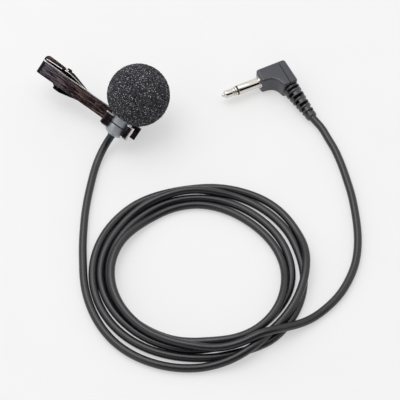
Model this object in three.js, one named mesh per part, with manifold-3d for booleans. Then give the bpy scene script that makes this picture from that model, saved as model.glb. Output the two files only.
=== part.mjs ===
// Lavalier microphone with foam windscreen, spring clip and a cord that ends in an angled jack plug.
// Units are millimetres. +Z is up and the table is z = 0. The origin is under the middle of the
// microphone and its clip, which are the pieces that aren't the cord or on it.
import * as THREE from 'three';
import { mergeVertices } from 'three/addons/utils/BufferGeometryUtils.js';
import Module from 'manifold-3d';

const wasm = await Module();
wasm.setup();

// ---------------------------------------------------------------- driving dimensions
const GAP = 0.3;

// Microphone pose: plan angle of its axis from +X, tilt above the table, roll of the clip about it.
const MIC_TURN = 46.1;
const MIC_TILT = 35.6;
const CLIP_ROLL = 21;
const MIC_AT = [5.51, -10.05, 7.74];

// Microphone body, along its own +Z from the middle of the clamp.
const BODY_R = 3.5;
const BODY_REAR = -3.9;
const SEAM = 0.1;
const BODY_FRONT = 13.2;
const BORE_R = 3.1;
const GRILLE_T = 0.7;

// Foam windscreen.
const FOAM_R = 10.45;
const FOAM_Z = 12.1;
const FOAM_BACK = 3.0;
const FOAM_BORE = 3.8;

// Clip.
const CLAMP_W = 4.8;
const CLAMP_T = 0.5;
const CLAMP_FIT = 0.06;
const CLAMP_OPEN = 53;
const LIP_R = 0.6;
const LIP_END = 4.9;
const RIM_R = 0.4;
const RIVET_HOLE_R = 1.1;
const BAR_Y = 4.4;
const BAR_T = 0.8;
const BAR_W = 4.8;
const BAR_SHIFT = 0.2;
const BAR_LEFT = -33.9;
const BAR_RIGHT = 6.8;
const PIVOT_X = -24.8;
const PIVOT_Y = 7.1;
const PIN_R = 0.6;
const PIN_FIT = 0.06;
const EAR_R = 1.35;
const EAR_Z = 1.75;
const SHEET_T = 0.5;
const JAW_Y = 5.6;
const JAW_T = 0.6;
const JAW_W = 4;
const JAW_END = 6.4;
const FLANGE_Z = 3.6;
const TOOTH = 0.2;
const TEETH = 9;
const TOOTH_PITCH = 1.2;
const SPRING_R = 1.16;
const SPRING_WIRE = 0.22;
const SPRING_TURNS = 4;

// Cord and coil.
const CORD_D = 2.6;
const CORD_SIDES = 8;
const CORD_MIC = [
  [3.1, -12.6, 5.15], [1.9, -13.9, 3.9], [0.2, -16.6, 2.6], [-1.4, -20.3, 1.55], [-2.5, -24.6, 1.35],
  [-3.3, -29.2, 1.35], [-4, -33.8, 1.35], [-4.5, -38.3, 1.35], [-4.8, -42.8, 1.35], [-4.9, -47.2, 1.35],
  [-4.9, -51.7, 1.35], [-4.7, -56.1, 1.35], [-4.4, -60.4, 1.35], [-4, -64.6, 1.35],
];
const CORD_PLUG = [
  [71.6, -3.7, 2], [74.1, -6.9, 1.6], [76.1, -11, 1.35], [78, -15.2, 1.35], [79.5, -19.6, 1.35],
  [80.7, -24, 1.35], [81.7, -28.5, 1.35], [82.6, -32.9, 1.35], [83.2, -37.4, 1.35], [83.6, -41.9, 1.35],
  [83.8, -46.4, 1.35], [83.7, -50.8, 1.35], [83.2, -55.2, 1.35], [82.2, -59.5, 1.35], [80.6, -63.6, 1.35],
  [78.6, -67.4, 1.35], [76, -70.8, 1.4], [73.1, -73.7, 1.6], [70, -76.3, 2], [65.5, -79.4, 2.7],
];
const COIL_AT = [32.75, -62.6];
const COIL_RX = 35.15;
const COIL_RY = 33.7;
const COIL_IN = 0.74;
const COIL_H = 5.4;

// Plug: its own +X runs from the tip into the housing, the cord leaves along its own -Y.
const PLUG_AT = [53.8, 11];
const PLUG_TURN = 24.6;
const PLUG_Z = 3.5;
const JACK_R = 1.75;
const ROD_R = 0.5;
const HOUSING_H = 7;
const CAP_SEAM = 8.9;
const HOUSING = [
  [-0.6, 2.1], [0.3, 2.8], [9.9, 2.9], [10.6, 2.2], [10.8, -7.4], [5.5, -7.4], [5.0, -5.2],
  [4.3, -3.9], [3.2, -2.9], [1.2, -2.5], [-0.6, -2.4],
];
const BEVEL = 0.7;
const BOOT_AT = [8.3, -8.2];
const BOOT_LEN = 12.2;
const BOOT_SPLAY = 8;
const BOOT_DROP = 7;
const BOOT_RIBS = 6;

// ---------------------------------------------------------------- materials
const materials = {
  foam: ['#38383b', 0.95, 0],
  body: ['#7b828c', 0.35, 0.7],
  darkmetal: ['#4b4546', 0.28, 0.9],
  steel: ['#b9bbbe', 0.25, 1],
  chrome: ['#d6d8da', 0.12, 1],
  brass: ['#b08d4c', 0.35, 1],
  black: ['#17171a', 0.5, 0],
  plastic: ['#5e6268', 0.45, 0],
  cord: ['#45464b', 0.55, 0],
  boot: ['#3c3d42', 0.6, 0],
  felt: ['#2b2b2c', 1, 0],
  board: ['#2f5a3c', 0.6, 0],
  copper: ['#b5683d', 0.4, 1],
  red: ['#8c2f2a', 0.5, 0],
};
for (const [name, [color, roughness, metalness]] of Object.entries(materials)) {
  materials[name] = new THREE.MeshStandardMaterial({ name, color, roughness, metalness });
}

// ---------------------------------------------------------------- solids
const solid = (geometry) => {
  let g = geometry.index ? geometry.toNonIndexed() : geometry.clone();
  g.deleteAttribute('normal');
  g.deleteAttribute('uv');
  g = mergeVertices(g, 1e-4);
  const triangles = [];
  for (let i = 0; i < g.index.count; i += 3) {
    const [a, b, c] = g.index.array.slice(i, i + 3);
    if (a !== b && b !== c && c !== a) triangles.push(a, b, c);
  }
  return new wasm.Manifold(new wasm.Mesh({
    numProp: 3,
    vertProperties: new Float32Array(g.attributes.position.array),
    triVerts: new Uint32Array(triangles),
  }));
};

const fromSolid = (body) => {
  const mesh = body.getMesh();
  const g = new THREE.BufferGeometry();
  g.setAttribute('position', new THREE.BufferAttribute(mesh.vertProperties, 3));
  g.setIndex(new THREE.BufferAttribute(mesh.triVerts, 1));
  return g;
};

const join = (first, ...rest) => fromSolid(rest.reduce((sum, g) => sum.add(solid(g)), solid(first)));
const cut = (first, ...rest) => fromSolid(rest.reduce((sum, g) => sum.subtract(solid(g)), solid(first)));
const common = (first, second) => fromSolid(solid(first).intersect(solid(second)));

// A solid of revolution about Z from a closed profile of [radius, z], counter-clockwise in (r, z).
const turn = (profile, sides = 40) => {
  const onAxis = profile[0][0] === 0 && profile[profile.length - 1][0] === 0;
  const closed = (onAxis ? profile : [...profile, profile[0]]).map(([r, z]) => new THREE.Vector2(r, z));
  return new THREE.LatheGeometry(closed, sides).rotateX(Math.PI / 2);
};
const disc = (radius, z0, z1, sides = 40) => turn([[0, z0], [radius, z0], [radius, z1], [0, z1]], sides);
const ring = (inner, outer, z0, z1, sides = 40) => (
  turn([[inner, z0], [outer, z0], [outer, z1], [inner, z1]], sides)
);

const outline = (points) => new THREE.Shape(points.map(([x, y]) => new THREE.Vector2(x, y)));
const slab = (points, z0, z1) => (
  new THREE.ExtrudeGeometry(outline(points), { depth: z1 - z0, bevelEnabled: false }).translate(0, 0, z0)
);

const radians = THREE.MathUtils.degToRad;
const arc = (cx, cy, r, from, to, steps) => Array.from({ length: steps + 1 }, (_, i) => {
  const a = radians(from + (to - from) * i / steps);
  return [cx + r * Math.cos(a), cy + r * Math.sin(a)];
});

// The outline of a strip of even thickness along a centre line of [x, y] points.
const strip = (line, thickness) => {
  const side = (sign) => line.map(([x, y], i) => {
    const [ax, ay] = line[Math.max(i - 1, 0)];
    const [bx, by] = line[Math.min(i + 1, line.length - 1)];
    const length = Math.hypot(bx - ax, by - ay);
    return [x - sign * thickness / 2 * (by - ay) / length, y + sign * thickness / 2 * (bx - ax) / length];
  });
  return [...side(-1), ...side(1).reverse()];
};

// A round tube along smooth points, closed at both ends.
const tube = (points, radius, sides, steps) => {
  const curve = new THREE.CatmullRomCurve3(points.map((p) => new THREE.Vector3(...p)));
  const section = new THREE.Shape(Array.from({ length: sides }, (_, i) => {
    const a = 2 * Math.PI * (i + 0.5) / sides;
    return new THREE.Vector2(radius * Math.cos(a), radius * Math.sin(a));
  }));
  return new THREE.ExtrudeGeometry(section, { steps, extrudePath: curve, bevelEnabled: false });
};

// ---------------------------------------------------------------- placing
const group = new THREE.Group();
group.name = 'lavalier_microphone';

const micFrame = (() => {
  const [turned, tilt, roll] = [MIC_TURN, MIC_TILT, CLIP_ROLL].map(radians);
  const axis = new THREE.Vector3(
    Math.cos(tilt) * Math.cos(turned), Math.cos(tilt) * Math.sin(turned), Math.sin(tilt));
  const level = new THREE.Vector3(Math.sin(turned), -Math.cos(turned), 0);
  const above = new THREE.Vector3().crossVectors(level, axis);
  const bar = level.clone().multiplyScalar(Math.cos(roll)).addScaledVector(above, -Math.sin(roll));
  const down = new THREE.Vector3().crossVectors(axis, bar);
  return new THREE.Matrix4().makeBasis(bar, down, axis).setPosition(...MIC_AT);
})();
const plugFrame = new THREE.Matrix4().makeRotationZ(radians(PLUG_TURN)).setPosition(...PLUG_AT, PLUG_Z);
const rowFrame = new THREE.Matrix4();

const place = (frame, name, geometry, material) => {
  const mesh = new THREE.Mesh(geometry.applyMatrix4(frame), materials[material]);
  mesh.name = name;
  group.add(mesh);
};

// ---------------------------------------------------------------- windscreen
const foam = () => {
  const back = Math.asin((FOAM_BACK - FOAM_Z) / FOAM_R) * 180 / Math.PI;
  const skin = arc(0, FOAM_Z, FOAM_R, back, 90, 22);
  skin[skin.length - 1][0] = 0;
  const end = BODY_FRONT + GAP + GRILLE_T + GAP;
  return turn([...skin, [0, end], [FOAM_BORE, end], [FOAM_BORE, FOAM_BACK]], 48);
};
place(micFrame, 'foam_windscreen', foam(), 'foam');

// ---------------------------------------------------------------- microphone body
const rearCap = () => {
  const seam = SEAM - GAP / 2;
  const edge = arc(BODY_R - 1.15, BODY_REAR + 1.05, 1.1, -90, 0, 5);
  return turn([
    [1.9, BODY_REAR], ...edge, [BODY_R - 0.05, seam], [2.8, seam], [2.8, 1.4], [2.3, 1.4],
    [2.3, BODY_REAR + 0.9], [1.9, BODY_REAR + 0.9],
  ]);
};
const frontBarrel = () => turn([
  [BORE_R, SEAM + GAP / 2], [BODY_R, SEAM + GAP / 2], [BODY_R, BODY_FRONT - 0.2],
  [BODY_R - 0.2, BODY_FRONT], [BORE_R, BODY_FRONT],
]);
const headGrille = () => {
  const z = BODY_FRONT + GAP;
  const plate = turn([
    [0, z], [BODY_R, z], [BODY_R, z + 0.4], [BODY_R - 0.4, z + GRILLE_T], [0, z + GRILLE_T],
  ]);
  const hole = (x, y) => disc(0.42, z - 1, z + 2, 12).translate(x, y, 0);
  const holes = arc(0, 0, 1.8, 0, 300, 5).map(([x, y]) => hole(x, y));
  return cut(plate, hole(0, 0), ...holes);
};
place(micFrame, 'rear_cap', rearCap(), 'body');
place(micFrame, 'front_barrel', frontBarrel(), 'body');
place(micFrame, 'head_grille', headGrille(), 'steel');
place(micFrame, 'acoustic_felt', disc(2.7, 12.5, 13.1, 28), 'felt');
place(micFrame, 'cord_gland', turn([
  [0, -4.1], [1.35, -4.1], [1.55, -3.9], [1.55, -2.4], [0, -2.4],
], 28), 'black');
place(micFrame, 'cord_crimp', ring(0.6, 1.7, -1.9, -0.4, 28), 'brass');

// ---------------------------------------------------------------- electret capsule
const capsuleCan = () => turn([
  [0.5, 12.1], [0.5, 11.8], [2.35, 11.8], [2.35, 8.6], [2.65, 8.6], [2.65, 12.1],
], 32);
place(micFrame, 'capsule_can', capsuleCan(), 'steel');
place(micFrame, 'capsule_diaphragm', disc(2.05, 11.35, 11.45, 28), 'brass');
place(micFrame, 'capsule_spacer', ring(1.6, 2.05, 10.85, 11.05, 28), 'plastic');
place(micFrame, 'capsule_backplate', disc(2.05, 10.1, 10.5, 28), 'brass');
place(micFrame, 'capsule_holder', ring(1.5, 2.05, 8.9, 9.8, 28), 'plastic');
place(micFrame, 'capsule_jfet', new THREE.BoxGeometry(1.2, 0.9, 0.5).translate(0, 0, 9.2), 'black');
place(micFrame, 'capsule_board', disc(2.6, 7.7, 8.3, 28), 'board');
place(micFrame, 'capsule_gasket', ring(1.7, 2.8, 6.5, 7.3, 32), 'black');
place(micFrame, 'solder_signal', disc(0.35, 7.0, 7.4, 12).translate(0.75, 0, 0), 'steel');
place(micFrame, 'solder_ground', disc(0.35, 7.0, 7.4, 12).translate(-0.75, 0, 0), 'steel');
const inner = (side) => tube([
  [0.3 * side, 0, 0.1], [0.5 * side, 0.3, 2], [0.8 * side, 0, 4.2], [0.75 * side, 0, 6.7],
], 0.18, 6, 10);
place(micFrame, 'signal_wire', inner(1), 'red');
place(micFrame, 'shield_wire', inner(-1), 'copper');

// ---------------------------------------------------------------- clip
const rivetHole = () => disc(RIVET_HOLE_R, 0, 8, 24).rotateX(-Math.PI / 2);
const clamp = () => {
  const mid = BODY_R + CLAMP_FIT + CLAMP_T / 2;
  const from = CLAMP_OPEN - 90;
  const [x, y] = [Math.cos(radians(from)), Math.sin(radians(from))].map((v) => v * (mid + LIP_R));
  const bend = arc(x, y, LIP_R, 180 + from, 270, 7).reverse();
  const rim = arc(LIP_END, y - LIP_R + RIM_R, RIM_R, 270, 370, 5).reverse();
  const right = [...rim, ...bend];
  const left = right.map(([u, v]) => [-u, v]).reverse();
  const line = [...right, ...arc(0, 0, mid, from, 180 - from, 48).slice(1, -1), ...left];
  return cut(slab(strip(line, CLAMP_T), -CLAMP_W / 2, CLAMP_W / 2), rivetHole());
};
place(micFrame, 'clip_clamp', clamp(), 'darkmetal');
place(micFrame, 'clamp_rivet', disc(0.8, 3.65, BAR_Y + BAR_T - 0.05, 24).rotateX(-Math.PI / 2), 'steel');

const pinHole = () => disc(PIN_R + PIN_FIT, -9, 9, 32).translate(PIVOT_X, PIVOT_Y, 0);
const clipBar = () => {
  const mid = BAR_Y + BAR_T / 2;
  const bend = arc(BAR_LEFT + 1.25, mid + 0.85, 0.85, 270, 190, 6);
  const line = [[BAR_RIGHT, mid], [BAR_RIGHT - 20, mid], ...bend, [BAR_LEFT + 0.3, mid + 1.5]];
  const plate = slab(strip(line, BAR_T), -BAR_W / 2, BAR_W / 2).translate(0, 0, BAR_SHIFT);
  const ear = (z) => slab([
    ...arc(PIVOT_X, PIVOT_Y, EAR_R, 0, 180, 12),
    [PIVOT_X - EAR_R, mid], [PIVOT_X + EAR_R, mid],
  ], z - SHEET_T / 2, z + SHEET_T / 2);
  return cut(join(plate, ear(-EAR_Z), ear(EAR_Z)), pinHole(), rivetHole());
};
place(micFrame, 'clip_bar', clipBar(), 'darkmetal');

const pivotPin = () => turn([
  [0, -4], [PIN_R, -4], [PIN_R, 4.05], [0.95, 4.05], [0.95, 4.4], [0.7, 4.7], [0, 4.7],
], 32).translate(PIVOT_X, PIVOT_Y, 0);
place(micFrame, 'pivot_pin', pivotPin(), 'steel');

// The jaw is one sheet: a side view of the sheet, trimmed to its outline seen square to the clip,
// with a flange down each side of the lever. Lever points are from the pivot in X.
const squareOn = (points) => slab(points, -24, 1).rotateX(Math.PI / 2);
const lowerJaw = () => {
  const fromPivot = (points) => points.map(([x, y]) => [PIVOT_X + x, y]);
  const line = [
    ...fromPivot([[-10.1, 11], [-6.2, 10.3], [-2.8, 9.5], [-0.6, 9.25], [1.8, 9.2], [3.8, 8.6], [9.2, 6.6]]),
    [-14.4, 6.25], [-12.6, JAW_Y + JAW_T / 2], [JAW_END, JAW_Y + JAW_T / 2],
  ];
  const plan = [
    [JAW_END, -JAW_W / 2], [JAW_END, JAW_W / 2], [-13.5, JAW_W / 2],
    ...fromPivot([[9, 2.25], [1.4, 3.85], [-8.2, 3.85]]),
    ...arc(PIVOT_X - 8.6, 2.35, 1.5, 90, 180, 6),
    ...fromPivot([[-10, -0.8], [-9.3, -1.7], [-3.5, -2.6], [-1.8, -3.85], [1.4, -3.85], [9, -2.25]]),
    [-13.5, -JAW_W / 2],
  ];
  const blank = common(slab(strip(line, JAW_T), -5, 5), squareOn(plan));
  const cheek = slab(fromPivot([
    [-0.8, 9.45], [-1.6, 8.2], [-1.6, 6.7], [-1, 5.8], [0.2, 5.5], [1.5, 5.6], [8.2, 6.2], [9.2, 6.6],
    [3.9, 8.7], [2.1, 9.4],
  ]), -5, 5);
  const flange = (side) => common(cheek, squareOn(strip(fromPivot([
    [-2, FLANGE_Z * side], [1.4, FLANGE_Z * side], [9.4, 1.95 * side],
  ]), SHEET_T)));
  const teeth = Array.from({ length: TEETH }, (_, i) => {
    const x = JAW_END - 0.2 - i * TOOTH_PITCH;
    return slab([
      [x, JAW_Y + 0.2], [x, JAW_Y - TOOTH], [x - 0.25, JAW_Y - TOOTH], [x - TOOTH_PITCH * 0.8, JAW_Y + 0.2],
    ], -JAW_W / 2 + 0.3, JAW_W / 2 - 0.3);
  });
  return cut(join(blank, flange(-1), flange(1), ...teeth), pinHole());
};
place(micFrame, 'lower_jaw', lowerJaw(), 'darkmetal');

const torsionSpring = () => {
  const points = [[PIVOT_X - 5.2, BAR_Y + BAR_T + 0.55, -1.1], [PIVOT_X - 2.6, BAR_Y + BAR_T + 0.6, -1.1]];
  const steps = SPRING_TURNS * 10 + 6;
  for (let i = 0; i <= steps; i += 1) {
    const a = -Math.PI / 2 + 2 * Math.PI * i / 10;
    points.push([PIVOT_X + SPRING_R * Math.cos(a), PIVOT_Y + SPRING_R * Math.sin(a), -1.1 + 2.2 * i / steps]);
  }
  points.push([PIVOT_X - 2.4, PIVOT_Y + 1.5, 1.1]);
  points.push([PIVOT_X - 4.8, PIVOT_Y + 1.95, 1.1]);
  return tube(points, SPRING_WIRE, 6, 110);
};
place(micFrame, 'torsion_spring', torsionSpring(), 'copper');

// ---------------------------------------------------------------- plug
const lengthwise = (geometry) => geometry.rotateY(Math.PI / 2);
const plugTip = () => lengthwise(turn([
  [0, -14.8], [0.3, -14.75], [0.55, -14.4], [0.75, -13.9], [1.1, -13.7], [1.3, -13.3], [1.3, -11.3],
  [1.1, -11], [1.1, -10.8], [1.55, -10.6], [1.55, -9.9], [ROD_R, -9.9], [ROD_R, 2.2], [0, 2.2],
]));
const plugSleeve = () => lengthwise(ring(1.1, JACK_R, -8.8, 1.4));
place(plugFrame, 'plug_tip', plugTip(), 'chrome');
place(plugFrame, 'plug_insulator', lengthwise(ring(0.8, JACK_R - 0.1, -9.6, -9.1)), 'black');
place(plugFrame, 'plug_sleeve', plugSleeve(), 'chrome');
place(plugFrame, 'plug_rear_insulator', lengthwise(ring(0.8, 1.35, 1.7, 2.1, 28)), 'black');

const housingBlank = () => {
  const spine = HOUSING.map(([x, y]) => new THREE.Vector2(x, y));
  const depth = HOUSING_H - 2 * BEVEL;
  return new THREE.ExtrudeGeometry(new THREE.Shape(spine), {
    depth, bevelEnabled: true, bevelThickness: BEVEL, bevelSize: BEVEL, bevelOffset: -BEVEL, bevelSegments: 3,
  }).translate(0, 0, -depth / 2);
};
const boxOf = (x0, x1, y0, y1, z0, z1) => (
  new THREE.BoxGeometry(x1 - x0, y1 - y0, z1 - z0).translate((x0 + x1) / 2, (y0 + y1) / 2, (z0 + z1) / 2)
);
const cavity = () => [
  boxOf(0.9, 9.6, -1.7, 1.7, -2.3, 2.3),
  boxOf(5.9, 9.6, -6.2, 0, -2.3, 2.3),
];
const mouth = () => disc(1.7, 5, 12, 28).rotateX(Math.PI / 2).translate(7.9, 0, 0);
const plugHousing = () => {
  const shaft = lengthwise(disc(JACK_R + GAP, -5, 2));
  const front = common(housingBlank(), boxOf(-5, CAP_SEAM - GAP / 2, -20, 20, -20, 20));
  return cut(front, ...cavity(), shaft, mouth());
};
const endCap = () => {
  const back = common(housingBlank(), boxOf(CAP_SEAM + GAP / 2, 30, -20, 20, -20, 20));
  return cut(back, ...cavity(), mouth());
};
place(plugFrame, 'plug_housing', plugHousing(), 'plastic');
place(plugFrame, 'plug_end_cap', endCap(), 'plastic');
place(plugFrame, 'tip_lug', boxOf(2.5, 4.3, -0.6, 0.6, -0.2, 0.2), 'brass');
place(plugFrame, 'sleeve_lug', boxOf(2.5, 4.6, -0.7, 0.7, -1.7, -1.3), 'brass');
place(plugFrame, 'plug_signal_wire', tube([
  [4.6, 0, 0], [5.8, -0.6, 0.2], [7.2, -2.4, 0.4], [7.8, -5, 0.2],
], 0.22, 6, 10), 'red');
place(plugFrame, 'plug_shield_wire', tube([
  [4.9, 0, -1.5], [6, -0.4, -1.5], [7.6, -2.2, -1.2], [8.1, -5, -0.6],
], 0.22, 6, 10), 'copper');

const strainRelief = () => {
  const radius = (t) => 2.75 - 1.15 * t;
  const pitch = (BOOT_LEN - 1) / BOOT_RIBS;
  const profile = [[0, 0], [radius(0), 0], [radius(0), 1]];
  for (let i = 0; i < BOOT_RIBS; i += 1) {
    const z = 1 + i * pitch;
    const r = radius(z / BOOT_LEN);
    const next = radius((z + pitch) / BOOT_LEN);
    profile.push([r - 0.45, z + 0.1], [r - 0.45, z + 0.6], [r - 0.05, z + 0.7], [next, z + pitch]);
  }
  profile.push([0, BOOT_LEN]);
  return turn(profile, 28)
    .rotateX(Math.PI / 2)
    .rotateX(radians(BOOT_DROP))
    .rotateZ(radians(BOOT_SPLAY))
    .translate(...BOOT_AT, 0);
};
place(plugFrame, 'strain_relief', strainRelief(), 'boot');

// ---------------------------------------------------------------- cord
const coil = () => {
  const r = 0.06;
  const profile = [
    [COIL_IN + r / 2, 0], [1 - r, 0], [1, 0.25], [1, 0.7], [1 - r, 1], [COIL_IN + r, 1], [COIL_IN, 0.7],
    [COIL_IN, 0.25],
  ].map(([x, y]) => [x, y * COIL_H]);
  return turn(profile, 56).scale(COIL_RX, COIL_RY, 1).translate(...COIL_AT, 0);
};
place(rowFrame, 'cord_mic_end', tube(CORD_MIC, CORD_D / 2, CORD_SIDES, 20), 'cord');
place(rowFrame, 'cord_coil', coil(), 'cord');
place(rowFrame, 'cord_plug_end', tube(CORD_PLUG, CORD_D / 2, CORD_SIDES, 26), 'cord');

export default group;
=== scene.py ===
"""A lavalier microphone with a foam windscreen, its spring clip, and a cord that ends in an angled plug.

Sizes are in millimetres until MM turns them into metres. A piece of the microphone, clip or plug is made in
that sub-assembly's own frame, and every finished piece lies in the row frame.
"""

import math

import bmesh
import bpy
import numpy as np
from mathutils import Matrix, Vector, noise


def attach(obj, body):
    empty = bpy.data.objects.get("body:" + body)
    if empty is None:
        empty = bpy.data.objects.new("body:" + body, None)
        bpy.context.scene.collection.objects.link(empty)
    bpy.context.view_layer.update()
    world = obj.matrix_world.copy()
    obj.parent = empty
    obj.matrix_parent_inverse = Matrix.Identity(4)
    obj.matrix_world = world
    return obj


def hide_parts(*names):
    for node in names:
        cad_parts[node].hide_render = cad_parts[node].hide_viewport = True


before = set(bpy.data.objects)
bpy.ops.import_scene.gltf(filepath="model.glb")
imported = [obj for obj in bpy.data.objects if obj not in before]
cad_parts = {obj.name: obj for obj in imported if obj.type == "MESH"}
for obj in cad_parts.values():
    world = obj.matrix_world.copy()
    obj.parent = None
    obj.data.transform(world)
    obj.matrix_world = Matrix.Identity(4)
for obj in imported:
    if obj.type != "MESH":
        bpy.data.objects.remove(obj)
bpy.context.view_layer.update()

# ------------------------------------------------------------------ driving dimensions, as in the CAD part
MM = 0.001
MIC_TURN, MIC_TILT, CLIP_ROLL = 46.1, 35.6, 21
MIC_AT = (5.51, -10.05, 7.74)
PLUG_AT = (53.8, 11, 3.5)
PLUG_TURN = 24.6

CORD_D = 2.6 * MM
CORD_MIC = [
    (3.85, -11.75, 6), (3.1, -12.6, 5.15), (1.9, -13.9, 3.9), (0.2, -16.6, 2.6), (-1.4, -20.3, 1.55),
    (-2.5, -24.6, 1.35), (-3.3, -29.2, 1.35), (-4, -33.8, 1.35), (-4.5, -38.3, 1.35), (-4.8, -42.8, 1.35),
    (-4.9, -47.2, 1.35), (-4.9, -51.7, 1.35), (-4.7, -56.1, 1.35), (-4.4, -60.4, 1.35), (-4, -64.6, 1.35),
]
CORD_PLUG = [
    (69.3, -0.1, 2.45), (71.55, -3.6, 2), (74.1, -6.9, 1.6), (76.1, -11, 1.35), (78, -15.2, 1.35),
    (79.5, -19.6, 1.35), (80.7, -24, 1.35), (81.7, -28.5, 1.35), (82.6, -32.9, 1.35), (83.2, -37.4, 1.35),
    (83.6, -41.9, 1.35), (83.8, -46.4, 1.35), (83.7, -50.8, 1.35), (83.2, -55.2, 1.35), (82.2, -59.5, 1.35),
    (80.6, -63.6, 1.35), (78.6, -67.4, 1.35), (76.1, -71, 1.4), (73.3, -74, 1.6), (70.2, -76.7, 2),
    (65.6, -79.8, 2.7),
]
# The coil's radius every COMPASS degrees, counter-clockwise seen from above, a line for each turn.
COIL_CENTRE = (32, -62.3)
COIL_START = 225
COMPASS = 45
COIL_RADII = [
    35.1, 32.8, 31.6, 34.1, 34.8, 30.8, 32.2,
    33.3, 31.5, 29.6, 32.3, 33.8, 31.6, 29.9, 29.4,
    30.3, 28.0, 26.4, 27.2, 29.7, 28.1, 27.3, 27.2,
    28.7, 26.3, 25.3, 27.8, 27.8, 24.9, 24.9, 25.7,
    27.4, 26.6, 26.7, 31.5,
]
POINTS_PER_TURN = 16
# Between these angles, the outer turn lies on the inner ones.
OUTER_TURN_ON_TOP = (285, 400)
CORD_STEP = 2 * MM
CORD_SIDES = 28
HELD_LENGTH = 22 * MM
SETTLE_ROUNDS = 260

# Microphone body, (radius, height) along its own axis from the middle of the clamp.
BODY_R = 3.5
REAR_CAP = [(0, -3.9), (2.4, -3.9), (BODY_R - 0.05, -2.9), (BODY_R - 0.05, -0.05), (0, -0.05)]
FRONT_BARREL = [(3.1, 0.25), (BODY_R, 0.25), (BODY_R, 13.2), (3.1, 13.2)]
GLAND = [(0, -4.3), (1.5, -4.3), (1.6, -3.7), (1.6, -2.4), (0, -2.4)]
# The cap's rim is paler, from the first height to the second.
CAP_RIM = ("Z", -3.1, -3.5)

# Jack plug: (radius, distance) along its shaft, and the outline of its housing seen from above.
JACK_R = 1.75
PLUG_TIP = [
    (0, -14.8), (0.35, -14.75), (0.6, -14.35), (0.75, -13.95), (1.15, -13.75), (1.35, -13.3), (1.35, -11.1),
    (1.0, -11.0), (1.0, -10.75), (1.55, -10.65), (1.55, -10.2), (1.0, -10.1), (1.0, -9.95), (1.6, -9.85),
    (1.6, -9.3), (0.5, -9.3), (0.5, 2.2), (0, 2.2),
]
PLUG_INSULATOR = [(0.8, -9.25), (1.62, -9.25), (1.62, -8.85), (0.8, -8.85)]
PLUG_SLEEVE = [(1.1, -8.8), (JACK_R, -8.8), (JACK_R, 1.4), (1.1, 1.4)]
PLUG_COLLAR = [(1.8, -0.95), (2.1, -0.95), (2.1, 0.1), (1.8, 0.1)]
HOUSING = [
    (-0.6, 3), (10.6, 3.2), (10.9, -7), (5.4, -7.2), (4.9, -5.2), (4.2, -3.9), (3.1, -2.9), (1.2, -2.5),
    (-0.6, -2.45),
]
HOUSING_H = 7
HOUSING_CORNER = 1.2
HOUSING_EDGE = 0.75
HOUSING_EDGE_STEPS = 8
CAP_SEAM = 8
SEAM_GAP = 0.24

BOOT_AT = (8.2, -7.1, 0)
BOOT_LENGTH = 13.3
BOOT_SPLAY = 8
BOOT_DROP = 7
BOOT_RIBS = 7
BOOT_WIDE, BOOT_NARROW = 3.1, 1.8
BOOT_CUFF = 0.8
BOOT_GROOVE, BOOT_BRIDGE = 0.95, 0.14
BOOT_SIDES, BOOT_RINGS = 72, 150

# The clip's pivot and its torsion spring, in the microphone's frame. The coil climbs from the first height,
# is split at the second and ends at the third. The legs are from the pivot.
PIVOT = (-24.8, 7.1)
SPRING_R, SPRING_WIRE = 1.16, 0.22
SPRING_TURNS = 4
SPRING_Z = (-1.1, 0.85, 1.15)
BAR_LEG = [(-5.2, -1.4), (-2.6, -1.3)]
LEVER_LEG = [(-2.4, 1.35), (-4.6, 1.9)]
HOOK_R, HOOK_Z = 1.25, 4.08

# Where painted highlights and painted shade lie on the clip's sheets: an axis of the microphone's frame,
# where the tone starts and where it's full.
# Painted highlights along the bar's two long edges.
BAR_PAINTED_HIGHLIGHTS = [("Z", 2.3, 2.36), ("Z", -2.12, -2.2)]
# Painted shade towards the bar's right end, under the clamp.
BAR_PAINTED_SHADE = [("X", 0, 7.5)]
# Painted lilac-grey highlight streaks towards the bar's left end.
BAR_LILAC_HIGHLIGHT = ("X", -20, -30)
# Painted shade on the bar's bent lip at its left end.
BAR_LIP_SHADE = ("X", -32.4, -32.7)
# Painted shade on the jaw under the bar and on its flange round the pivot.
JAW_PAINTED_SHADE = [("Z", 2.45, 2.3), ("X", -26.6, -26.2)]
# Painted highlights on the clamp's rims and on its right prong's outer edge.
CLAMP_PAINTED_HIGHLIGHTS = [("Z", 1.95, 2.1), ("Z", -2.0, -2.15), ("X", 4.75, 4.9)]
SHEET_EDGES = {"clip_clamp": 0.16, "clip_bar": 0.09, "lower_jaw": 0.09}
# The lever's two rims are light nickel, painted highlights where its edges catch the light.
LEVER_RIMS = {
    "lever_rib": [(-34.1, 10.4, 2.35), (-31, 9.85, 2.6), (-27.6, 9.05, 2.8)],
    "flange_rim": [(-25.9, 5.75, 3.6), (-23.4, 5.6, 3.62), (-19.6, 5.9, 2.85), (-16.4, 6.2, 2.15)],
}
RIM_R = 0.14
RIM_POINTS = 25
WIRE_SIDES = 12
LATHE_SIDES = 96

# Edges sharper than these angles stay crisp.
SHEET_CREASE, PIECE_CREASE = 35, 40

# Foam ball: its flat back has a bore for the head. From the middle of the back to its rim, the bore's wall
# and then the back itself start at these shares of the way, after the bore's end.
FOAM_R = 10.45
FOAM_Z = 12.1
FOAM_BACK = 3.0
FOAM_BORE = 3.8
FOAM_END = 14.5
WALL_FROM, BACK_FROM = 0.12, 0.78
PORE, PORE_DEPTH = 0.62, 0.3
GRAIN, GRAIN_DEPTH = 0.3, 0.07

# Camera, key light and floor.
VIEW_ANGLE, VIEW_TILT = 18.74, 31
VIEW_FROM = (32.81, -240.85, 342.87)
KEY_FROM, KEY_AIM = (-140, 140, 600), (33, -35, 0)
KEY_SIZE = 500
KEY_POWER = 1.6
FLOOR_HALF = 2000


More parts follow.
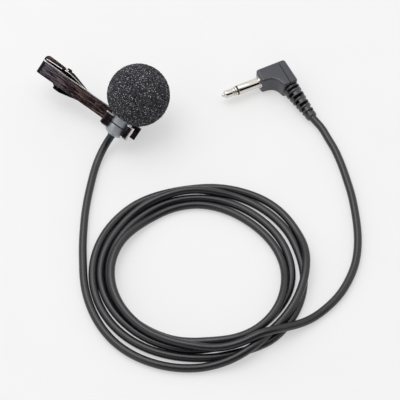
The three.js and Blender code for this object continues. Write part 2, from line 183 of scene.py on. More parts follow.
# ------------------------------------------------------------------ frames
def axes(x, y, z, at):
    """The matrix from a sub-assembly's own millimetres to the row frame's metres."""
    facing = Matrix((x, y, z)).transposed().to_4x4()
    return Matrix.Translation(Vector(at) * MM) @ facing @ Matrix.Scale(MM, 4)


def microphone_frame():
    turn, tilt, roll = (math.radians(a) for a in (MIC_TURN, MIC_TILT, CLIP_ROLL))
    axis = Vector((math.cos(tilt) * math.cos(turn), math.cos(tilt) * math.sin(turn), math.sin(tilt)))
    level = Vector((math.sin(turn), -math.cos(turn), 0))
    bar = level * math.cos(roll) - level.cross(axis) * math.sin(roll)
    return axes(bar, axis.cross(bar), axis, MIC_AT)


def plug_frame():
    turn = math.radians(PLUG_TURN)
    along = Vector((math.cos(turn), math.sin(turn), 0))
    return axes(along, Vector((-along.y, along.x, 0)), Vector((0, 0, 1)), PLUG_AT)


ROW = Matrix.Scale(MM, 4)
MIC = microphone_frame()
PLUG = plug_frame()
SHAFT = PLUG @ Matrix.Rotation(math.pi / 2, 4, "Y")
BOOT = (
    PLUG
    @ Matrix.Translation(BOOT_AT)
    @ Matrix.Rotation(math.radians(BOOT_SPLAY), 4, "Z")
    @ Matrix.Rotation(math.radians(90 + BOOT_DROP), 4, "X")
)


# ------------------------------------------------------------------ materials
class Look:
    """A node material whose patterns are laid out in a sub-assembly's own millimetres."""

    def __init__(self, name, place, **finish):
        self.material = bpy.data.materials.new(name)
        self.material.use_nodes = True
        self.tree = self.material.node_tree
        self.shader = self.tree.nodes["Principled BSDF"]
        for socket, value in finish.items():
            self.shader.inputs[socket.replace("_", " ")].default_value = value
        where = self.node("ShaderNodeTexCoord")
        local = self.node("ShaderNodeMapping")
        back = place.inverted()
        local.inputs["Location"].default_value = back.to_translation()
        local.inputs["Rotation"].default_value = back.to_euler()
        local.inputs["Scale"].default_value = (1 / MM,) * 3
        self.link(where.outputs["Object"], local.inputs["Vector"])
        self.local = local.outputs["Vector"]

    def node(self, kind, **values):
        made = self.tree.nodes.new(kind)
        for name, value in values.items():
            setattr(made, name, value)
        return made

    def link(self, source, target):
        self.tree.links.new(source, target)

    def stretched(self, stretch):
        if stretch is None:
            return self.local
        scaled = self.node("ShaderNodeVectorMath", operation="MULTIPLY")
        scaled.inputs[1].default_value = stretch
        self.link(self.local, scaled.inputs[0])
        return scaled.outputs["Vector"]

    def noise(self, scale, detail=3, rough=0.5, stretch=None):
        made = self.node("ShaderNodeTexNoise")
        made.inputs["Scale"].default_value = scale
        made.inputs["Detail"].default_value = detail
        made.inputs["Roughness"].default_value = rough
        self.link(self.stretched(stretch), made.inputs["Vector"])
        return made.outputs["Fac"]

    def cells(self, scale, output="Distance"):
        made = self.node("ShaderNodeTexVoronoi", feature="F1")
        made.inputs["Scale"].default_value = scale
        self.link(self.local, made.inputs["Vector"])
        return made.outputs[output]

    def ramp(self, source, *stops):
        """Colours or greys along a value, each stop being (value, grey or colour)."""
        made = self.node("ShaderNodeValToRGB")
        points = made.color_ramp.elements
        while len(points) < len(stops):
            points.new(0.5)
        for point, (at, colour) in zip(points, stops):
            point.position = at
            point.color = (*colour, 1) if isinstance(colour, tuple) else (colour, colour, colour, 1)
        self.link(source, made.inputs["Fac"])
        return made.outputs["Color"]

    def mix(self, factor, first, second):
        made = self.node("ShaderNodeMix", data_type="RGBA")
        for socket, value in ((0, factor), (6, first), (7, second)):
            if isinstance(value, bpy.types.NodeSocket):
                self.link(value, made.inputs[socket])
            elif isinstance(value, tuple):
                made.inputs[socket].default_value = (*value, 1)
            else:
                made.inputs[socket].default_value = value
        return made.outputs[2]

    def math(self, operation, *values):
        made = self.node("ShaderNodeMath", operation=operation)
        for socket, value in zip(made.inputs, values):
            if isinstance(value, bpy.types.NodeSocket):
                self.link(value, socket)
            else:
                socket.default_value = value
        return made.outputs[0]

    def band(self, axis, low, high):
        """A mask that is 0 where a local coordinate is at the first value and 1 where it's at the second."""
        split = self.node("ShaderNodeSeparateXYZ")
        self.link(self.local, split.inputs[0])
        made = self.node("ShaderNodeMapRange")
        made.inputs["From Min"].default_value = low
        made.inputs["From Max"].default_value = high
        self.link(split.outputs[axis], made.inputs["Value"])
        return made.outputs["Result"]

    def most(self, bands):
        """The greatest of some bands' masks."""
        top = self.band(*bands[0])
        for band in bands[1:]:
            top = self.math("MAXIMUM", top, self.band(*band))
        return top

    def colour(self, source):
        self.link(source, self.shader.inputs["Base Color"])

    def roughness(self, source):
        self.link(source, self.shader.inputs["Roughness"])

    def bump(self, height, depth):
        made = self.node("ShaderNodeBump")
        made.inputs["Strength"].default_value = 1
        made.inputs["Distance"].default_value = depth * MM
        self.link(height, made.inputs["Height"])
        self.link(made.outputs["Normal"], self.shader.inputs["Normal"])


def grey(value):
    return (value, value, value, 1)


def cord_look():
    look = Look("cord_vinyl", ROW, Roughness=0.28, Specular_IOR_Level=0.6)
    cloudy = look.noise(0.35, 4)
    fine = look.noise(6, 3)
    look.colour(look.ramp(cloudy, (0.3, (0.006, 0.006, 0.008)), (0.7, (0.01, 0.01, 0.013))))
    look.roughness(look.ramp(fine, (0.3, 0.23), (0.7, 0.31)))
    look.bump(look.noise(9, 3), 0.02)
    return look.material


def foam_look():
    """Dark open cells with painted shade in their pores, and sparse bright specks, painted highlights where a
    cell's wall catches the light.
    """
    look = Look("open_cell_foam", MIC, Roughness=0.9, Specular_IOR_Level=0.1)
    pores = look.cells(1.9)
    small = look.cells(2.5)
    # The cells' darker middles are painted shade in the open pores.
    deep, middling, raised = (0.004, 0.004, 0.005), (0.021, 0.021, 0.025), (0.075, 0.075, 0.085)
    walls = look.ramp(small, (0.15, deep), (0.5, middling), (0.8, raised))
    chance = look.cells(2.5, output="Color")
    lucky = look.ramp(chance, (0.45, 0.0), (0.85, 1.0))
    middle = look.ramp(small, (0.2, 1.0), (0.45, 0.0))
    speckle = look.math("MULTIPLY", lucky, middle)
    look.colour(look.mix(speckle, walls, (0.7, 0.7, 0.75)))
    look.bump(pores, 0.3)
    return look.material


def body_look():
    look = Look("satin_body", MIC, Metallic=0.35, Roughness=0.36)
    tone = look.ramp(look.noise(0.8, 4), (0.3, (0.3, 0.32, 0.35)), (0.7, (0.37, 0.39, 0.42)))
    look.colour(look.mix(look.band(*CAP_RIM), tone, (0.5, 0.52, 0.55)))
    brushed = look.noise(3, 3, stretch=(1, 1, 12))
    look.roughness(look.ramp(brushed, (0.3, 0.3), (0.7, 0.42)))
    look.bump(brushed, 0.006)
    return look.material


def nickel_look(name, brown, painted_highlights=(), dark=(), lilac_highlight_end=False, sheen=0.8, edge_tint=1.0):
    """Black nickel on pressed sheet: lengthwise streaks with a brown tint and fine light ones, a painted
    sheen as strong as the sheen argument, and bands of painted highlight and painted shade. A low edge tint
    dims what the metal mirrors at a slant."""
    look = Look(name, MIC, Metallic=0.95, Roughness=0.24, Specular_Tint=grey(edge_tint))
    streaks = look.noise(1.6, 5, 0.7, stretch=(0.13, 1.6, 1.6))
    fine = look.noise(3.0, 5, 0.75, stretch=(0.16, 2.0, 2.0))
    light_brown = tuple(3.4 * c for c in brown)
    tone = look.ramp(streaks, (0.45, (0.006, 0.005, 0.007)), (0.53, brown), (0.6, light_brown))
    # Fine light streaks: a painted sheen.
    tone = look.mix(look.ramp(fine, (0.54, 0.0), (0.66, sheen)), tone, (0.45, 0.35, 0.36))
    # Painted lilac-grey highlight streaks towards the bar's left end.
    if lilac_highlight_end:
        lilac_highlight = look.math("MULTIPLY", look.band(*BAR_LILAC_HIGHLIGHT), look.ramp(streaks, (0.45, 0.0), (0.57, 0.85)))
        tone = look.mix(lilac_highlight, tone, (0.3, 0.27, 0.33))
        # Painted shade on the bar's bent lip.
        tone = look.mix(look.band(*BAR_LIP_SHADE), tone, (0.014, 0.012, 0.014))
    # Painted shade: near black over the dark bands.
    if dark:
        tone = look.mix(look.most(dark), tone, (0.012, 0.01, 0.01))
    # Patchy near-white painted highlights over the bright bands.
    if painted_highlights:
        patchy_highlight = look.math("MULTIPLY", look.most(painted_highlights), look.ramp(look.noise(0.5, 3), (0.3, 0.6), (0.6, 1.0)))
        tone = look.mix(patchy_highlight, tone, (0.95, 0.93, 0.93))
    look.colour(tone)
    look.roughness(look.ramp(fine, (0.3, 0.16), (0.7, 0.34)))
    look.bump(streaks, 0.03)
    return look.material


def metal_look(name, place, colour, rough):
    look = Look(name, place, Metallic=1, Roughness=rough)
    scuffs = look.noise(4, 4)
    look.colour(look.ramp(scuffs, (0.25, tuple(0.85 * c for c in colour)), (0.75, colour)))
    look.roughness(look.ramp(scuffs, (0.3, rough * 0.8), (0.75, rough * 1.4)))
    look.bump(look.noise(14, 2), 0.002)
    return look.material


def moulded_look(name, place, colour, rough, grain=6, depth=0.015, shine=0.5):
    look = Look(name, place, Roughness=rough, Specular_IOR_Level=shine)
    look.colour(look.ramp(look.noise(0.7, 4), (0.3, tuple(0.85 * c for c in colour)), (0.7, colour)))
    texture = look.noise(grain, 3)
    look.roughness(look.ramp(texture, (0.3, rough * 0.88), (0.7, rough * 1.12)))
    look.bump(texture, depth)
    return look.material


# ------------------------------------------------------------------ mesh helpers
def piece(name, vertices, faces, material, body, slot, place=ROW):
    """A finished mesh from points in the place's own millimetres."""
    mesh = bpy.data.meshes.new(name)
    mesh.from_pydata([place @ Vector(v) for v in vertices], [], faces)
    mesh.validate()
    fix = bmesh.new()
    fix.from_mesh(mesh)
    bmesh.ops.recalc_face_normals(fix, faces=fix.faces)
    fix.to_mesh(mesh)
    fix.free()
    mesh.polygons.foreach_set("use_smooth", [True] * len(mesh.polygons))
    mesh.set_sharp_from_angle(angle=math.radians(PIECE_CREASE))
    mesh.materials.append(material)
    made = bpy.data.objects.new(name, mesh)
    bpy.context.scene.collection.objects.link(made)
    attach(made, body)
    return made


def rings_to_faces(rings, sides):
    """Quads between rings of the same number of points, and a face over each end."""
    faces = [
        (r * sides + s, r * sides + (s + 1) % sides, (r + 1) * sides + (s + 1) % sides, (r + 1) * sides + s)
        for r in range(rings - 1)
        for s in range(sides)
    ]
    return faces + [tuple(range(sides))[::-1], tuple((rings - 1) * sides + s for s in range(sides))]


def rounded(points, radius, steps=4, closed=False):
    """The points with each corner turned into a small curve, which takes less than half of a short side."""
    count = len(points)
    most = 0.45
    smooth = []
    for i, corner in enumerate(points):
        if not closed and i in (0, count - 1):
            smooth.append(tuple(corner))
            continue
        corner = Vector(corner)
        before, after = Vector(points[i - 1]) - corner, Vector(points[(i + 1) % count]) - corner
        start = corner + before.normalized() * min(radius, before.length * most)
        end = corner + after.normalized() * min(radius, after.length * most)
        for k in range(steps + 1):
            t = k / steps
            smooth.append(tuple(start * (1 - t) ** 2 + corner * 2 * t * (1 - t) + end * t**2))
    return smooth


def turned(profile):
    """Points and faces of a solid of revolution about Z. A profile that starts off the axis is a ring."""
    hollow = profile[0][0] > 0
    rings = profile if hollow else profile[1:-1]
    sides = LATHE_SIDES
    around = [2 * math.pi * s / sides for s in range(sides)]
    vertices = [(radius * math.cos(a), radius * math.sin(a), z) for radius, z in rings for a in around]
    faces = rings_to_faces(len(rings), sides)
    if hollow:
        last = (len(rings) - 1) * sides
        faces = faces[:-2] + [(last + s, last + (s + 1) % sides, (s + 1) % sides, s) for s in range(sides)]
    return vertices, faces


# ------------------------------------------------------------------ camera, light and floor
def camera():
    data = bpy.data.cameras.new("camera")
    data.angle = math.radians(VIEW_ANGLE)
    made = bpy.data.objects.new("camera", data)
    made.location = Vector(VIEW_FROM) * MM
    made.rotation_euler = (math.radians(VIEW_TILT), 0, 0)
    bpy.context.scene.collection.objects.link(made)
    bpy.context.scene.camera = made


def key_light():
    data = bpy.data.lights.new("key", "AREA")
    data.size = KEY_SIZE * MM
    data.energy = KEY_POWER
    made = bpy.data.objects.new("key", data)
    made.location = Vector(KEY_FROM) * MM
    made.rotation_euler = (Vector(KEY_FROM) - Vector(KEY_AIM)).to_track_quat("Z", "Y").to_euler()
    bpy.context.scene.collection.objects.link(made)


def floor():
    """Pale paper, which glows a little so that it stays as bright as the tent."""
    look = Look("paper", ROW, Base_Color=grey(0.4), Roughness=0.9)
    look.colour(look.ramp(look.noise(0.05, 3), (0.3, 0.396), (0.7, 0.404)))
    look.shader.inputs["Emission Color"].default_value = grey(1)
    look.shader.inputs["Emission Strength"].default_value = 0.48
    mesh = bpy.data.meshes.new("floor")
    corners = [(-1, -1), (1, -1), (1, 1), (-1, 1)]
    mesh.from_pydata([(x * FLOOR_HALF * MM, y * FLOOR_HALF * MM, 0) for x, y in corners], [], [(0, 1, 2, 3)])
    mesh.materials.append(look.material)
    made = bpy.data.objects.new("floor", mesh)
    bpy.context.scene.collection.objects.link(made)


def tent():
    """A bright tent with a dark patch round the camera and a small black flag that the jack reflects."""
    world = bpy.data.worlds.new("studio")
    world.use_nodes = True
    tree = world.node_tree
    sky = tree.nodes["Background"]
    where = tree.nodes.new("ShaderNodeTexCoord").outputs["Generated"]

    def towards(direction, *stops):
        lean = tree.nodes.new("ShaderNodeVectorMath")
        lean.operation = "DOT_PRODUCT"
        lean.inputs[1].default_value = Vector(direction).normalized()
        tree.links.new(where, lean.inputs[0])
        fade = tree.nodes.new("ShaderNodeValToRGB")
        for point, (at, level) in zip(fade.color_ramp.elements, stops):
            point.position, point.color = at, grey(level)
        tree.links.new(lean.outputs["Value"], fade.inputs["Fac"])
        return fade.outputs["Color"]

    def times(first, second):
        both = tree.nodes.new("ShaderNodeMix")
        both.data_type, both.blend_type = "RGBA", "MULTIPLY"
        both.inputs[0].default_value = 1
        tree.links.new(first, both.inputs[6])
        tree.links.new(second, both.inputs[7])
        return both.outputs[2]

    height = towards((0, 0, 1), (0.0, 0.62), (0.5, 1.0))
    camera_side = towards((0, -0.6, 0.8), (0.86, 1.0), (0.95, 0.08))
    flag = towards((0.59, -0.61, 0.52), (0.89, 1.0), (0.945, 0.0))
    tree.links.new(times(times(height, camera_side), flag), sky.inputs["Color"])
    sky.inputs["Strength"].default_value = 1.0
    bpy.context.scene.world = world
    bpy.context.scene.view_settings.view_transform = "Standard"


# ------------------------------------------------------------------ cord
def cubic(knots, values, at):
    """A natural cubic spline through the values at the knots."""
    knots, values, at = (np.asarray(a, float) for a in (knots, values, at))
    column = (lambda a: a) if values.ndim == 1 else (lambda a: a[:, None])
    count, span = len(knots), np.diff(knots)
    slope = np.diff(values, axis=0) / column(span)
    system = np.eye(count)
    right = np.zeros_like(values)
    for i in range(1, count - 1):
        system[i, i - 1 : i + 2] = span[i - 1], 2 * (span[i - 1] + span[i]), span[i]
        right[i] = 6 * (slope[i] - slope[i - 1])
    bend = np.linalg.solve(system, right)
    i = np.clip(np.searchsorted(knots, at) - 1, 0, count - 2)
    b = column((at - knots[i]) / span[i])
    a = 1 - b
    curve = (a**3 - a) * bend[i] + (b**3 - b) * bend[i + 1]
    return a * values[i] + b * values[i + 1] + curve * column(span[i]) ** 2 / 6


def distances(line):
    return np.concatenate([[0], np.cumsum(np.linalg.norm(np.diff(line, axis=0), axis=1))])


def cord_route():
    """Evenly spaced points along the cord as it is laid out flat, and the coil's angle at each."""
    compass = COIL_START + COMPASS * np.arange(len(COIL_RADII))
    angles = np.arange(COIL_START, compass[-1] + 1, 360 / POINTS_PER_TURN)
    radii = cubic(compass, COIL_RADII, angles)
    turns = [
        (
            COIL_CENTRE[0] + radius * math.cos(math.radians(angle)),
            COIL_CENTRE[1] + radius * math.sin(math.radians(angle)),
            CORD_D / MM / 2,
        )
        for angle, radius in zip(angles, radii)
    ]
    route = np.array(CORD_MIC + turns + CORD_PLUG[::-1]) * MM
    marks = [0] * len(CORD_MIC) + list(angles) + [angles[-1]] * len(CORD_PLUG)
    along = distances(route)
    fine = np.linspace(0, along[-1], 6000)
    reach = distances(cubic(along, route, fine))
    even = np.linspace(0, reach[-1], round(reach[-1] / CORD_STEP) + 1)
    at = np.interp(even, reach, fine)
    return cubic(along, route, at), np.interp(at, along, marks)


def springy(count, stiffness):
    """The matrix that eases a line of values towards a beam's smooth bend."""
    bend = np.zeros((count - 2, count))
    for i in range(count - 2):
        bend[i, i : i + 3] = 1, -2, 1
    return np.linalg.inv(np.eye(count) + stiffness * bend.T @ bend)


def settle(line, angle):
    """Lets the cord lie down on the table and on itself: later stretches lie on earlier ones, apart from
    the outer turn's right side, and touching stretches are pushed a diameter apart. The held length at each
    end stays as it is. First each stretch is lifted on to those below it, and then it sags back in rounds."""
    sag = 0.02 * CORD_D
    lift = 1.02 * CORD_D
    nearly_above = 0.4 * CORD_D
    kept_shift = 0.8
    too_near_to_touch, close = 2.2 * CORD_D, 4 * CORD_D
    count = len(line)
    held = np.zeros(count, bool)
    ends = int(HELD_LENGTH / CORD_STEP)
    held[:ends] = held[-ends:] = True
    order = np.arange(count, dtype=float)
    order[(angle > OUTER_TURN_ON_TOP[0]) & (angle < OUTER_TURN_ON_TOP[1])] += count / 3
    first, second = np.triu_indices(count, k=int(too_near_to_touch / CORD_STEP))
    near = np.linalg.norm(line[first, :2] - line[second, :2], axis=1) < close
    first, second = first[near], second[near]
    above = np.where(order[first] > order[second], first, second)
    below = np.where(order[first] > order[second], second, first)

    table = CORD_D / 2
    height = np.maximum(line[:, 2], table)
    flat = np.linalg.norm(line[above, :2] - line[below, :2], axis=1)
    rise = np.sqrt(np.clip(lift**2 - flat**2, 0, None))
    stacked = rise > CORD_D / 4
    for _ in range(6):
        need = np.full(count, table)
        np.maximum.at(need, above[stacked], height[below[stacked]] + rise[stacked])
        height = np.where(held, height, need)

    upright, sideways = springy(count, 3), springy(count, 2)
    shift = np.zeros((count, 2))
    free = ~held
    for _ in range(SETTLE_ROUNDS):
        height = np.where(held, height, np.maximum(upright @ (height - sag), table))
        shift = np.where(free[:, None], sideways @ shift * kept_shift, 0)
        for _ in range(3):
            points = np.column_stack([line[:, :2] + shift, height])
            apart = points[above] - points[below]
            flat = np.linalg.norm(apart[:, :2], axis=1)
            tall = np.where(flat < nearly_above, np.abs(apart[:, 2]), apart[:, 2])
            far = np.hypot(flat, tall)
            touch = far < CORD_D
            push = 0.5 * (CORD_D - far[touch]) / far[touch]
            moves = np.column_stack([apart[touch, :2], tall[touch]]) * push[:, None]
            for who, sign in ((above[touch], 1), (below[touch], -1)):
                shared = np.sqrt(np.maximum(np.bincount(who, minlength=count), 1)) * sign
                total = [np.bincount(who, moves[:, k], minlength=count) / shared for k in range(3)]
                shift += np.where(free, total[:2], 0).T
                height = np.where(free, np.maximum(height + total[2], table), height)
    return np.column_stack([line[:, :2] + shift, height])


def tube(line, radius, sides):
    """Points of a tube along a line, its rings kept from twisting, and its faces."""
    line = [Vector(p) for p in line]
    around = [2 * math.pi * s / sides for s in range(sides)]
    vertices = []
    side = Vector((0, 0, 1))
    for i, point in enumerate(line):
        ahead = (line[min(i + 1, len(line) - 1)] - line[max(i - 1, 0)]).normalized()
        side = (side - ahead * side.dot(ahead)).normalized()
        across = ahead.cross(side)
        vertices += [point + (side * math.cos(a) + across * math.sin(a)) * radius for a in around]
    return vertices, rings_to_faces(len(line), sides)


def cord():
    line, angle = cord_route()
    line = settle(line, angle)
    vertices, faces = tube(line / MM, CORD_D / MM / 2, CORD_SIDES)
    made = piece("cord", vertices, faces, cord_look(), "microphone", "cord")
    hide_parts("cord_mic_end", "cord_coil", "cord_plug_end")
    return made, line


# ------------------------------------------------------------------ windscreen
def foam_point(direction):
    """Where a point of the unit sphere lies on the foam, and whether that's outside its bore."""
    from_back = math.acos(max(-1, min(1, -direction.z)))
    edge = math.asin(math.sqrt(FOAM_R**2 - (FOAM_Z - FOAM_BACK) ** 2) / FOAM_R)
    if from_back >= edge:
        return Vector((0, 0, FOAM_Z)) + direction * FOAM_R, True
    around = Vector((direction.x, direction.y, 0)).normalized() if from_back > 1e-6 else Vector((1, 0, 0))
    share = from_back / edge
    rim = FOAM_R * math.sin(edge)
    if share > BACK_FROM:
        radius = FOAM_BORE + (rim - FOAM_BORE) * (share - BACK_FROM) / (1 - BACK_FROM)
        return around * radius + Vector((0, 0, FOAM_BACK)), True
    if share > WALL_FROM:
        deep = (BACK_FROM - share) / (BACK_FROM - WALL_FROM)
        return around * FOAM_BORE + Vector((0, 0, FOAM_BACK + deep * (FOAM_END - FOAM_BACK))), False
    return around * FOAM_BORE * share / WALL_FROM + Vector((0, 0, FOAM_END)), False


def windscreen():
    ball = bmesh.new()
    bmesh.ops.create_icosphere(ball, subdivisions=7, radius=1)
    for vertex in ball.verts:
        direction = vertex.co.normalized()
        place, outside = foam_point(direction)
        if outside:
            pore = noise.voronoi(place / PORE)[0][0]
            grain = noise.noise(place / GRAIN)
            place = place + direction * (PORE_DEPTH * (pore - 0.55) + GRAIN_DEPTH * grain)
        vertex.co = MIC @ place
    mesh = bpy.data.meshes.new("windscreen_foam")
    ball.to_mesh(mesh)
    ball.free()
    mesh.polygons.foreach_set("use_smooth", [True] * len(mesh.polygons))
    mesh.materials.append(foam_look())
    made = bpy.data.objects.new("windscreen_foam", mesh)
    bpy.context.scene.collection.objects.link(made)
    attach(made, "windscreen")
    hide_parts("foam_windscreen")


# ------------------------------------------------------------------ microphone body and clip
def body_pieces(looks):
    for name, profile, corner, slot, node in (
        ("body_rear_cap", REAR_CAP, 0.6, "body", "rear_cap"),
        ("body_front_barrel", FRONT_BARREL, 0.12, "body", "front_barrel"),
        ("body_cord_gland", GLAND, 0.12, "black", "cord_gland"),
    ):
        made = piece(name, *turned(rounded(profile, corner)), looks[slot], "microphone", slot, MIC)
        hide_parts(node)


def clip_edges(look):
    """Small rounded edges on the clip's pressed sheet, and two thin rims of light nickel along its lever,
    painted highlights where its edges catch the light.
    """
    for name, width in SHEET_EDGES.items():
        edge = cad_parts[name].modifiers.new("edge", "BEVEL")
        edge.width = width * MM
        edge.segments = 2
        edge.limit_method = "ANGLE"
        edge.angle_limit = math.radians(SHEET_CREASE)
        edge.harden_normals = True
    for name, points in LEVER_RIMS.items():
        knots = range(len(points))
        line = cubic(knots, points, np.linspace(0, knots[-1], RIM_POINTS))
        piece(name, *tube(line, RIM_R, WIRE_SIDES), look, "jaw", "darkmetal", MIC)


def spring(look):
    """The torsion spring in three pieces: most of it stays with the clip, while its last half turn with the
    leg under the lever, and the hook over the lever's flange, move with the jaw."""

    def from_pivot(points, z):
        return [(PIVOT[0] + x, PIVOT[1] + y, z) for x, y in points]

    def wound(radius, first, last, start, end, step=12):
        """Points round the pivot between two angles, climbing from a start height to an end height."""
        angles = np.linspace(first, last, int((last - first) / step) + 1)
        heights = np.linspace(start, end, len(angles))
        return [
            (PIVOT[0] + radius * math.cos(a), PIVOT[1] + radius * math.sin(a), z)
            for a, z in zip(np.radians(angles), heights)
        ]

    low, middle, high = SPRING_Z
    coil = from_pivot(BAR_LEG, low) + wound(SPRING_R, -90, -90 + 360 * SPRING_TURNS, low, middle)
    leg = wound(SPRING_R, -84, 90, middle, high) + from_pivot(LEVER_LEG, high)
    hook = wound(HOOK_R, 80, 270, HOOK_Z, HOOK_Z, 10)
    made = piece("spring_coil", *tube(coil, SPRING_WIRE, WIRE_SIDES), look, "clip", "copper", MIC)
    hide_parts("torsion_spring")
    for name, line in (("spring_leg", leg), ("spring_hook", hook)):
        piece(name, *tube(line, SPRING_WIRE, WIRE_SIDES), look, "jaw", "copper", MIC)


# ------------------------------------------------------------------ plug
def inset(outline, depth):
    """A closed outline moved inwards along its corners' normals."""
    points = np.array(outline)
    ahead = np.roll(points, -1, axis=0) - np.roll(points, 1, axis=0)
    ahead /= np.linalg.norm(ahead, axis=1)[:, None]
    return points + depth * np.column_stack([ahead[:, 1], -ahead[:, 0]])


def housing_half(name, keep_front, look, node):
    """The housing's rounded block, cut at its seam, with what lies past the seam taken away."""
    outline = rounded(HOUSING, HOUSING_CORNER, 8, closed=True)
    upper = []
    for k in range(HOUSING_EDGE_STEPS + 1):
        lean = math.pi / 2 * k / HOUSING_EDGE_STEPS
        down = HOUSING_EDGE * (1 - math.cos(lean))
        upper.append((HOUSING_EDGE * (1 - math.sin(lean)), HOUSING_H / 2 - down))
    levels = [(depth, -z) for depth, z in upper] + upper[::-1]
    vertices = [(x, y, z) for depth, z in levels for x, y in inset(outline, depth)]
    faces = rings_to_faces(len(levels), len(outline))
    made = piece(name, vertices, faces, look, "microphone", "plastic", PLUG)
    cut = bmesh.new()
    cut.from_mesh(made.data)
    side = -1 if keep_front else 1
    at = PLUG @ Vector((CAP_SEAM + side * SEAM_GAP / 2, 0, 0))
    across = (PLUG.to_3x3() @ Vector((1, 0, 0))).normalized() * side
    whole = cut.verts[:] + cut.edges[:] + cut.faces[:]
    bmesh.ops.bisect_plane(cut, geom=whole, dist=1e-7, plane_co=at, plane_no=across, clear_inner=True)
    bmesh.ops.holes_fill(cut, edges=[e for e in cut.edges if e.is_boundary], sides=0)
    bmesh.ops.recalc_face_normals(cut, faces=cut.faces)
    cut.to_mesh(made.data)
    cut.free()
    made.data.set_sharp_from_angle(angle=math.radians(PIECE_CREASE))
    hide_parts(node)


def boot_taper(z):
    return BOOT_WIDE + (BOOT_NARROW - BOOT_WIDE) * z / BOOT_LENGTH


def boot_radius(z, angle):
    """The boot's ribs, and between them grooves that two bridges cross, turned a quarter from one groove
    to the next."""
    pitch = (BOOT_LENGTH - 2 * BOOT_CUFF) / BOOT_RIBS
    step, share = divmod((z - BOOT_CUFF) / pitch, 1)
    if not 0 <= step < BOOT_RIBS or share > 0.5:
        return boot_taper(z)
    bridge = abs(math.cos(angle + math.pi / 2 * (step % 2))) > 0.86
    return boot_taper(z) - (BOOT_BRIDGE if bridge else BOOT_GROOVE)


def boot(looks):
    """The ribbed boot, with its ribs' edges and both ends softened and painted shade on the floors of its
    grooves.
    """
    edge = 0.12
    end_round, end_depth = 0.4, 0.35
    groove_floor, end_margin = 0.55, 0.5
    vertices = []
    for r in range(BOOT_RINGS + 1):
        z = BOOT_LENGTH * r / BOOT_RINGS
        to_end = min(z, BOOT_LENGTH - z)
        trim = end_depth * max(0, 1 - to_end / end_round) ** 2
        for s in range(BOOT_SIDES):
            a = 2 * math.pi * s / BOOT_SIDES
            nearby = [boot_radius(z + lift, a) for lift in (-edge, 0, edge)]
            radius = sum(nearby) / len(nearby) - trim
            vertices.append((radius * math.cos(a), radius * math.sin(a), z))
    faces = rings_to_faces(BOOT_RINGS + 1, BOOT_SIDES)
    made = piece("plug_boot", vertices, faces, looks["boot"], "microphone", "boot", BOOT)
    # The groove floors get a near-black material, painted shade in the grooves.
    made.data.materials.append(looks["groove"])
    for face in made.data.polygons:
        local = BOOT.inverted() @ face.center
        sunk = local.xy.length < boot_taper(local.z) - groove_floor
        if sunk and end_margin < local.z < BOOT_LENGTH - end_margin:
            face.material_index = 1
    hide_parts("strain_relief")


def plug_pieces(looks):
    for name, profile, slot, node in (
        ("jack_tip", PLUG_TIP, "chrome", "plug_tip"),
        ("jack_insulator", PLUG_INSULATOR, "black", "plug_insulator"),
        ("jack_sleeve", PLUG_SLEEVE, "chrome", "plug_sleeve"),
        ("jack_collar", PLUG_COLLAR, "chrome", None),
    ):
        made = piece(name, *turned(rounded(profile, 0.1, 3)), looks[slot], "microphone", slot, SHAFT)
        if node:
            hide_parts(node)
    housing_half("housing_front", True, looks["plastic"], "plug_housing")
    housing_half("housing_cap", False, looks["plastic"], "plug_end_cap")
    boot(looks)


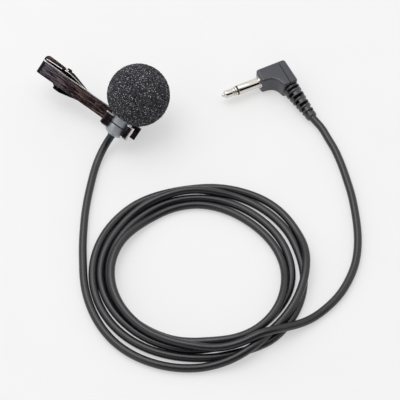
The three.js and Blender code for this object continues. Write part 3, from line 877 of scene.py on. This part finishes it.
# ------------------------------------------------------------------ finishes
def all_looks():
    """The materials, by the name of a CAD node or of one of the record's material slots. The rims' painted
    highlight and the groove's painted shade are only for this script's own pieces."""
    return {
        "body": body_look(),
        "clip_bar": nickel_look("bar_nickel", (0.08, 0.048, 0.046), BAR_PAINTED_HIGHLIGHTS, BAR_PAINTED_SHADE, lilac_highlight_end=True),
        "lower_jaw": nickel_look("jaw_nickel", (0.05, 0.032, 0.03), dark=JAW_PAINTED_SHADE, sheen=0.4, edge_tint=0.1),
        "clip_clamp": nickel_look("clamp_nickel", (0.018, 0.015, 0.015), CLAMP_PAINTED_HIGHLIGHTS, sheen=0.4),
        "pivot_pin": nickel_look("pin_nickel", (0.03, 0.024, 0.022), sheen=0.2, edge_tint=0.3),
        # Light nickel for the lever's rims: painted highlights on its edges.
        "rib": metal_look("light_nickel_highlight", MIC, (0.8, 0.78, 0.78), 0.25),
        "steel": metal_look("steel", MIC, (0.62, 0.61, 0.6), 0.28),
        "chrome": metal_look("chrome", PLUG, (0.78, 0.74, 0.69), 0.07),
        "brass": metal_look("brass", MIC, (0.72, 0.5, 0.22), 0.3),
        "black": moulded_look("black_plastic", MIC, (0.012, 0.012, 0.013), 0.45),
        "plastic": moulded_look("housing_plastic", PLUG, (0.042, 0.043, 0.053), 0.28, shine=0.65),
        "boot": moulded_look("boot_rubber", PLUG, (0.01, 0.01, 0.013), 0.27, shine=0.85),
        # Near-black painted shade for the floors of the boot's grooves.
        "groove": moulded_look("boot_groove_shade", PLUG, (0.004, 0.004, 0.005), 0.8, shine=0.1),
        "felt": moulded_look("felt", MIC, (0.02, 0.02, 0.02), 0.95, 12, 0.1),
        "board": moulded_look("circuit_board", MIC, (0.03, 0.1, 0.05), 0.5),
        "copper": metal_look("copper", MIC, (0.9, 0.66, 0.62), 0.22),
        "red": moulded_look("red_insulation", MIC, (0.3, 0.02, 0.02), 0.45),
    }


def finish_nodes(looks):
    """Each CAD node gets the look of its own name, or else of its material slot."""
    for name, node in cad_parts.items():
        slot = node.material_slots[0].material.name.split(".")[0]
        look = looks.get(name, looks.get(slot))
        if look:
            for used in node.material_slots:
                used.material = look
            node.data.polygons.foreach_set("use_smooth", [True] * len(node.data.polygons))
            node.data.set_sharp_from_angle(angle=math.radians(SHEET_CREASE))


camera()
cord_piece, cord_line = cord()
tent()
key_light()
floor()
windscreen()
finishes = all_looks()
finish_nodes(finishes)
body_pieces(finishes)
clip_edges(finishes["rib"])
spring(finishes["copper"])
plug_pieces(finishes)
